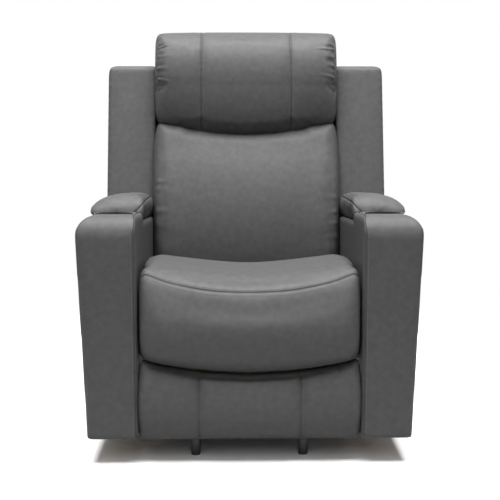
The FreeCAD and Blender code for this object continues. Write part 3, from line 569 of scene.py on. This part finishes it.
# arms: outer side, front, inner side and deck under one cover, seamed along the inner front edge
armPad = {
    "voxel": 0.006,
    "relax": 2,
    "grow": 0.0015,
    "roll": 0.055,
    "frontCrown": 0.005,
    "sideCrown": 0.006,
    "cornerDrop": 0.05,
    "inset": 0.003,
    "footGap": 0.004,
    "lidGap": 0.006,
    "seam": {"width": 0.0026, "depth": 0.0024, "valley": 0.001, "cuts": 3},
    "rowEnd": 0.01,
    "frontRow": 0.007,
    "sideRow": 0.012,
    "deckRow": 0.008,
    "deckAhead": 0.05,
    "deckBehind": 0.012,
}
for side, sign in (("left", -1), ("right", 1)):
    panels = [side + "_" + part for part in ("outer_panel", "inner_panel", "front_panel", "deck")]
    arm = softCopy(side + "ArmCover", *panels, voxel=armPad["voxel"])
    roll, inset = armPad["roll"], armPad["inset"]
    roundOff(arm, (0, frontY, deckTop), (0, 1, 0), (0, 0, -1), roll)
    relax(arm, armPad["relax"])
    shrink(arm, -armPad["grow"])
    crown(arm, (0, -1, 0), armPad["frontCrown"])
    crown(arm, (sign, 0, 0), armPad["sideCrown"])
    edgeX = sign * (innerX + inset)
    top = deckTop - armPad["cornerDrop"]
    edge = [(edgeX, frontY + inset, z) for z in np.linspace(armFoot + armPad["footGap"], top, 5)]
    for turn in (30, 60):
        back = 1 - math.cos(math.radians(turn))
        down = 1 - math.sin(math.radians(turn))
        edge.append((edgeX, frontY + inset + roll * back, deckTop - inset - roll * down))
    depths = np.linspace(frontY + roll, lidLow.y - armPad["lidGap"], 4)
    edge += [(edgeX, y, deckTop - inset / 2) for y in depths]
    corner = onSkin(arm, smoothLine(edge, seamStep), (sign * 0.6, 0.6, -0.5))[0]
    sew(arm, corner, **armPad["seam"])
    finish(arm, "chair")
    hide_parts(*panels)
    heights = np.linspace(armFoot + armPad["rowEnd"], top, 6)
    frontRow = np.array([(edgeX, frontY, z) for z in heights])
    stitch(side + "ArmFrontStitches", arm, frontRow, (0, 1, 0), -sign * armPad["frontRow"], "chair")
    sideRow = np.array([(edgeX, frontY + armPad["sideRow"], z) for z in heights])
    stitch(side + "ArmSideStitches", arm, sideRow, (sign, 0, 0), 0.0, "chair")
    depths = np.linspace(frontY + armPad["deckAhead"], lidLow.y - armPad["deckBehind"], 4)
    deckRow = np.array([(edgeX + sign * armPad["deckRow"], y, deckTop) for y in depths])
    stitch(side + "DeckStitches", arm, deckRow, (0, 0, -1), 0.0, "chair")

# arm ends: cloth tacked over the open rear end of each arm
armEnd = {"inner": 0.3, "outer": 0.394, "low": 0.07, "high": 0.199, "thick": 0.0022, "edge": 0.001}
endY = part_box("arm_bases")[1].y
for side, sign in (("left", -1), ("right", 1)):
    middle = Vector((sign * (armEnd["inner"] + armEnd["outer"]) / 2, endY + armEnd["thick"] / 2, 0))
    middle.z = (armEnd["low"] + armEnd["high"]) / 2
    size = (armEnd["outer"] - armEnd["inner"], armEnd["thick"], armEnd["high"] - armEnd["low"], 1)
    bm = bmesh.new()
    bmesh.ops.create_cube(bm, size=1, matrix=Matrix.Translation(middle) @ Matrix.Diagonal(size))
    bmesh.ops.bevel(bm, geom=bm.edges, offset=armEnd["edge"], segments=2, profile=0.5, affect="EDGES")
    finish(newPiece(side + "ArmEndCover", bm), "chair")
print("arm covers ready")

# lids: boxed pads with leaning fronts, seamed round their inner side
lidPad = {
    "voxel": 0.005,
    "grow": 0.003,
    "relax": 3,
    "seamIn": 0.004,
    "sideSeam": 0.012,
    "seamRear": (0.01, 0.002),
    "seamFront": ((0.02, 0.002), (0.006, 0.01), (0.004, 0.03)),
    "cap": 0.004,
    "liftOver": 0.03,
    "lift": 0.008,
    "innerLift": 0.009,
    "browReach": 0.06,
    "frontReach": 0.16,
    "frontLean": 0.03,
    "frontRoll": 0.035,
    "rowGap": 0.012,
    "rowRear": 0.03,
    "rowFront": 0.02,
}
for side, sign in (("left", -1), ("right", 1)):
    solids = (side + "_lid_pad", side + "_lid_board")
    lid = softCopy(side + "LidCover", *solids, voxel=lidPad["voxel"])
    shrink(lid, -lidPad["grow"])
    relax(lid, lidPad["relax"])
    places = points(lid)
    flank = np.abs(places[:, 0] - sign * lidLow.x) < lidPad["sideSeam"]
    shoulder = places[flank][:, 2].max() - lidPad["seamIn"]
    sideX = sign * (lidLow.x + lidPad["seamIn"])
    ahead, down = lidPad["seamRear"]
    seam = [(sideX, lidHigh.y - ahead, shoulder - down), (sideX, 0, shoulder)]
    seam += [(sideX, lidLow.y + behind, shoulder - down) for behind, down in lidPad["seamFront"]]
    lidLook = (sign * 0.7, 0.35, -0.6)
    corner = onSkin(lid, smoothLine(seam, seamStep), lidLook)[0]
    puff(lid, lidPad["cap"])
    places = points(lid)
    upper = rising(places[:, 2], lidLow.z, lidPad["liftOver"])
    inner = (1 - rising(np.abs(places[:, 0]), innerX, outerX - innerX)) ** 2
    places[:, 2] += upper * (lidPad["lift"] + lidPad["innerLift"] * inner)
    ahead = 1 - rising(places[:, 1], lidLow.y, lidPad["frontReach"])
    crest = places[places[:, 1] < lidLow.y + lidPad["browReach"]][:, 2].max()
    up = rising(places[:, 2], lidLow.z, crest - lidLow.z)
    places[:, 1] += ahead * (lidPad["frontLean"] * up + lidPad["frontRoll"] * (1 - np.sqrt(1 - up**2)))
    setPoints(lid, places)
    refine(lid)
    sew(lid, onSkin(lid, corner, lidLook)[0])
    finish(lid, side + "_lid")
    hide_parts(*solids)
    depths = np.linspace(lidHigh.y - lidPad["rowRear"], lidLow.y + lidPad["rowFront"], 5)
    topRow = np.array([(sideX + sign * lidPad["rowGap"], y, lidHigh.z) for y in depths])
    stitch(side + "LidStitches", lid, topRow, (0, 0, -1), 0.0, side + "_lid")
print("lid covers ready")

# back: wings, cushion, headrest pillow and rear cover
wingPad = {
    "voxel": 0.006,
    "relax": 6,
    "browAbove": 0.9,
    "corner": 0.03,
    "lip": 0.022,
    "topEnd": (0.2, 0.05),
    "topUp": 0.006,
    "crown": 0.005,
}
for side, sign in (("left", -1), ("right", 1)):
    wing = softCopy(side + "WingCover", side + "_wing", voxel=wingPad["voxel"])
    places = points(wing)
    top = (places @ upWay).max() * upBack
    brow = (places @ backWay)[places[:, 2] > wingPad["browAbove"]].min() * backFacing
    roundOff(wing, top + Vector((sign * outerX, 0, 0)), (-sign, 0, 0), -upBack, wingPad["corner"])
    roundOff(wing, top + brow, backFacing, -upBack, wingPad["lip"])
    relax(wing, wingPad["relax"])
    stretch(wing, upBack, *wingPad["topEnd"], wingPad["topUp"])
    crown(wing, -backFacing, wingPad["crown"])
    finish(wing, "backrest")
    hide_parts(side + "_wing")

cushion = {
    "voxel": 0.0075,
    "grow": 0.004,
    "relax": 3,
    "flat": 0.19,
    "round": 0.024,
    "topEnd": (0.12, 0.03),
    "topUp": 0.012,
    "cap": 0.006,
    "slack": 0.004,
    "pull": 0.001,
    "smooth": 8,
    "half": 0.268,
    "folds": (0.2, 0.3, 0.42),
    "fold": {"length": 0.05, "pitch": 0.04, "height": 0.0014},
}
lumbar = softCopy("backCushionCover", "back_cushion", voxel=cushion["voxel"])
shrink(lumbar, -cushion["grow"])
relax(lumbar, cushion["relax"])
fillSides(lumbar, -backFacing, cushion["flat"], cushion["round"])
relax(lumbar, cushion["relax"])
stretch(lumbar, upBack, *cushion["topEnd"], cushion["topUp"])
puff(lumbar, cushion["cap"], slack=cushion["slack"], pull=cushion["pull"])
relax(lumbar, cushion["smooth"])
refine(lumbar)
for side, seed in ((-1, 3), (1, 8)):
    edge = backLine(side * cushion["half"], cushion["folds"], foldStep)
    gather(lumbar, edge, (-side, 0, 0), backFacing, seed=seed, **cushion["fold"])
finish(lumbar, "backrest")
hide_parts("back_cushion")

pillowPad = {
    "voxel": 0.007,
    "relax": 10,
    "shrink": 0.002,
    "fuller": 0.014,
    "fullUp": (0.68, 0.14),
    "fullAhead": (0.02, 0.08),
    "lowEnd": (0.12, 0.03),
    "lowDown": 0.009,
    "topEnd": (0.12, 0.02),
    "topDown": 0.005,
    "cap": 0.006,
    "seam": 0.137,
    "seamUps": (0.535, 0.7, 0.9),
    "half": 0.268,
    "folds": (0.66, 0.74, 0.82),
    "fold": {"length": 0.06, "pitch": 0.024, "height": 0.004},
    "rowGap": 0.006,
}
pillow = softCopy("headrestCover", "headrest_pillow", voxel=pillowPad["voxel"])
relax(pillow, pillowPad["relax"])
shrink(pillow, pillowPad["shrink"])
places = points(pillow)
ahead = (places - np.array(backPivot)) @ -backWay
up = (places - np.array(backPivot)) @ upWay
fuller = rising(up, *pillowPad["fullUp"]) * rising(ahead, *pillowPad["fullAhead"])
setPoints(pillow, places - backWay * (pillowPad["fuller"] * fuller)[:, None])
stretch(pillow, -upBack, *pillowPad["lowEnd"], pillowPad["lowDown"])
stretch(pillow, upBack, *pillowPad["topEnd"], -pillowPad["topDown"])
puff(pillow, pillowPad["cap"])
refine(pillow)
seamRuns = {side: backLine(side * pillowPad["seam"], pillowPad["seamUps"], seamStep) for side in (-1, 1)}
for side, seed in ((-1, 5), (1, 14)):
    sew(pillow, onSkin(pillow, seamRuns[side], backFacing)[0], **fineSeam)
    edge = backLine(side * pillowPad["half"], pillowPad["folds"], foldStep)
    gather(pillow, edge, (-side, 0, 0), backFacing, seed=seed, **pillowPad["fold"])
finish(pillow, "backrest")
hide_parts("headrest_pillow")
for side, label in ((-1, "left"), (1, "right")):
    for aside in (-pillowPad["rowGap"], pillowPad["rowGap"]):
        name = label + "Headrest" + ("Inner" if aside * side > 0 else "Outer") + "Stitches"
        stitch(name, pillow, seamRuns[side][4:-4], backFacing, aside, "backrest")

rearPad = {"voxel": 0.0055, "relax": 3, "crown": 0.006}
rear = softCopy("rearCover", "back_cover", voxel=rearPad["voxel"])
relax(rear, rearPad["relax"])
crown(rear, backFacing, rearPad["crown"])
finish(rear, "backrest")
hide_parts("back_cover")
print("back covers ready")

# seat and calf roll under one cover
seatPad = {
    "voxel": 0.0085,
    "bridge": 0.008,
    "grow": 0.003,
    "relax": 4,
    "shoulder": 0.016,
    "shoulderOver": 0.06,
    "shoulderBehind": 0.2,
    "shoulderFade": 0.16,
    "upper": (0.01, 0.05),
    "half": 0.26,
    "sideLift": 0.034,
    "edge": (0.22, 0.05),
    "edgeLift": 0.01,
    "crest": -0.15,
    "rearDrop": 0.037,
    "dip": (-0.08, 0.3),
    "settle": 3,
    "cap": 0.008,
    "slack": 0.004,
    "smooth": 12,
    "tuck": (0.27, 0.2),
    "tuckUp": 0.04,
    "fold": {"length": 0.03, "pitch": 0.024, "height": 0.0025},
    "rowGap": 0.006,
    "bendStart": (0, 0.045, 0.08),
    "bendEnd": (0, -0.08, -0.01),
}
solids = ("seat_cushion", "calf_roll")
seat = softCopy("seatCover", *solids, voxel=seatPad["voxel"], bridge=seatPad["bridge"])
shrink(seat, -seatPad["grow"])
relax(seat, seatPad["relax"])
places = points(seat)
rise = rising(places[:, 2], legPivot.z, seatPad["shoulderOver"])
rise *= rising(-places[:, 1], -legPivot.y - seatPad["shoulderBehind"], seatPad["shoulderFade"])
places[:, 2] += seatPad["shoulder"] * rise
upper = rising(places[:, 2] - legPivot.z, *seatPad["upper"])
out = np.abs(places[:, 0])
sides = rising(out, 0, seatPad["half"]) ** 1.6
edge = rising(out, *seatPad["edge"]) ** 2
behind = rising(places[:, 1], seatPad["crest"], seatHigh.y - seatPad["crest"])
places[:, 2] += upper * (seatPad["sideLift"] * sides + seatPad["edgeLift"] * edge)
places[:, 2] -= upper * seatPad["rearDrop"] * behind * (2 - behind)
setPoints(seat, places)
fillDip(seat, *(legPivot.y + end for end in seatPad["dip"]))
relax(seat, seatPad["settle"])
puff(seat, seatPad["cap"], slack=seatPad["slack"])
relax(seat, seatPad["smooth"])
refine(seat)
# the seam from one side to the middle: x, and y from the footrest pivot
halfSeam = [(0.272, -0.036), (0.24, -0.042), (0.178, -0.048), (0.1, -0.051), (0, -0.049)]
wholeSeam = [(-x, y) for x, y in halfSeam] + halfSeam[-2::-1]
seatSeam = smoothLine([(x, legPivot.y + y, seatHigh.z) for x, y in wholeSeam], seamStep)
seatLook = (0, 0, -1)
sew(seat, onSkin(seat, seatSeam, seatLook)[0], **fineSeam)
for side, seed in ((-1, 4), (1, 9)):
    spots = side * np.linspace(*seatPad["tuck"], 6)
    edge = np.array([(x, rollLow.y, rollLow.z + seatPad["tuckUp"]) for x in spots])
    gather(seat, edge, (0, 0, 1), (0, 1, 0), seed=seed, **seatPad["fold"])
finish(seat)
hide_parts("seat_cushion", "calf_roll")
seatRows = []
for label, aside in (("Rear", seatPad["rowGap"]), ("Front", -seatPad["rowGap"])):
    seatRows.append(stitch("seatStitches" + label, seat, seatSeam[2:-2], seatLook, aside))
for piece in (seat, *seatRows):
    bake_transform(piece)

# footrest panel
panelPad = {
    "voxel": 0.007,
    "grow": 0.002,
    "relax": 3,
    "cap": 0.005,
    "seam": 0.129,
    "seamFoot": 0.004,
    "seamMiddle": 0.15,
    "seamTop": 0.01,
    "tuck": (0.27, 0.15),
    "tuckDown": 0.02,
    "fold": {"length": 0.035, "pitch": 0.03, "height": 0.0018},
    "rowGap": 0.006,
}
panel = softCopy("footrestCover", "footrest_pad", voxel=panelPad["voxel"])
shrink(panel, -panelPad["grow"])
relax(panel, panelPad["relax"])
puff(panel, panelPad["cap"])
refine(panel)
heights = (padLow.z + panelPad["seamFoot"], panelPad["seamMiddle"], padHigh.z - panelPad["seamTop"])
panelRuns = {}
for side, seed in ((-1, 21), (1, 34)):
    panelRuns[side] = smoothLine([(side * panelPad["seam"], padLow.y, z) for z in heights], seamStep)
    sew(panel, onSkin(panel, panelRuns[side], (0, 1, 0))[0])
    spots = side * np.linspace(*panelPad["tuck"], 8)
    edge = np.array([(x, padLow.y, padHigh.z - panelPad["tuckDown"]) for x in spots])
    gather(panel, edge, (0, 0, -1), (0, 1, 0), seed=seed, **panelPad["fold"])
finish(panel, "footrest")
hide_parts("footrest_pad")
for side, label in ((-1, "left"), (1, "right")):
    name = label + "FootrestStitches"
    stitch(name, panel, panelRuns[side][2:-2], (0, 1, 0), -side * panelPad["rowGap"], "footrest")
print("seat and footrest ready")


# stage, light and camera
room = {"floor": 0.2, "seenFloor": 1.05, "near": 1.1, "far": 2.0, "light": 0.26}


def seenRays(material):  # 1 for what the camera sees itself, in a mirror or through glass
    path = addNode(material, "ShaderNodeLightPath")
    link = material.node_tree.links.new
    total = path.outputs["Is Camera Ray"]
    for name in ("Is Glossy Ray", "Is Transmission Ray"):
        most = addNode(material, "ShaderNodeMath")
        most.operation = "MAXIMUM"
        link(total, most.inputs[0])
        link(path.outputs[name], most.inputs[1])
        total = most.outputs["Value"]
    return total


def stageRoom():
    bm = bmesh.new()
    bmesh.ops.create_grid(bm, x_segments=1, y_segments=1, size=40)
    floor = newPiece("floor", bm)
    paint, shader = newMaterial("paleFloor", (room["floor"],) * 3, 0.9)
    shader.inputs["Specular IOR Level"].default_value = 0.0
    link = paint.node_tree.links.new
    seen = seenRays(paint)
    tone = addNode(paint, "ShaderNodeMix")
    tone.data_type = "RGBA"
    tone.inputs["A"].default_value = (*(room["floor"],) * 3, 1)
    tone.inputs["B"].default_value = (*(room["seenFloor"],) * 3, 1)
    link(seen, tone.inputs["Factor"])
    link(tone.outputs["Result"], shader.inputs["Base Color"])
    glow = addNode(paint, "ShaderNodeEmission", Color=(1, 1, 1, 1), Strength=1)
    reach = addNode(paint, "ShaderNodeVectorMath")
    reach.operation = "LENGTH"
    link(addNode(paint, "ShaderNodeTexCoord").outputs["Object"], reach.inputs[0])
    fade = addNode(paint, "ShaderNodeMapRange")
    fade.interpolation_type = "SMOOTHSTEP"
    fade.inputs["From Min"].default_value = room["near"]
    fade.inputs["From Max"].default_value = room["far"]
    link(reach.outputs["Value"], fade.inputs["Value"])
    share = addNode(paint, "ShaderNodeMath")
    share.operation = "MULTIPLY"
    link(fade.outputs["Result"], share.inputs[0])
    link(seen, share.inputs[1])
    blend = addNode(paint, "ShaderNodeMixShader")
    link(share.outputs["Value"], blend.inputs["Fac"])
    link(shader.outputs["BSDF"], blend.inputs[1])
    link(glow.outputs["Emission"], blend.inputs[2])
    link(blend.outputs["Shader"], paint.node_tree.nodes["Material Output"].inputs["Surface"])
    floor.data.materials.append(paint)
    world = bpy.data.worlds.new("room")
    bpy.context.scene.world = world
    world.use_nodes = True
    level = addNode(world, "ShaderNodeMix")
    level.inputs["A"].default_value = room["light"]
    level.inputs["B"].default_value = 1.0
    background = world.node_tree.nodes["Background"]
    background.inputs["Color"].default_value = (1, 1, 1, 1)
    world.node_tree.links.new(seenRays(world), level.inputs["Factor"])
    world.node_tree.links.new(level.outputs["Result"], background.inputs["Strength"])


def areaLamp(name, place, aim, size, power):
    light = bpy.data.lights.new(name, "AREA")
    light.size = size
    light.energy = power
    lamp = bpy.data.objects.new(name, light)
    lamp.location = place
    lamp.rotation_euler = (Vector(aim) - Vector(place)).to_track_quat("-Z", "Y").to_euler()
    bpy.context.scene.collection.objects.link(lamp)


lamps = {
    "topLight": {"place": (0, -1.0, 7.0), "aim": (0, -0.1, 0.4), "size": 5.0, "power": 1300},
    "frontLight": {"place": (-0.8, -3.8, 3.0), "aim": (0, 0, 0.7), "size": 2.4, "power": 34},
}
view = {"lens": 73.94, "sensor": 36, "place": (-0.0443, -2.9525, 0.8713), "pitch": 7.308, "yaw": 1.011}
stageRoom()
for name, lamp in lamps.items():
    areaLamp(name, **lamp)
lens = bpy.data.cameras.new("photoCamera")
lens.lens = view["lens"]
lens.sensor_width = view["sensor"]
camera = bpy.data.objects.new("photoCamera", lens)
camera.location = view["place"]
camera.rotation_euler = (math.radians(90 - view["pitch"]), 0, math.radians(-view["yaw"]))
bpy.context.scene.collection.objects.link(camera)
bpy.context.scene.camera = camera
bpy.context.scene.view_settings.view_transform = "Standard"
print("stage, light and camera ready")
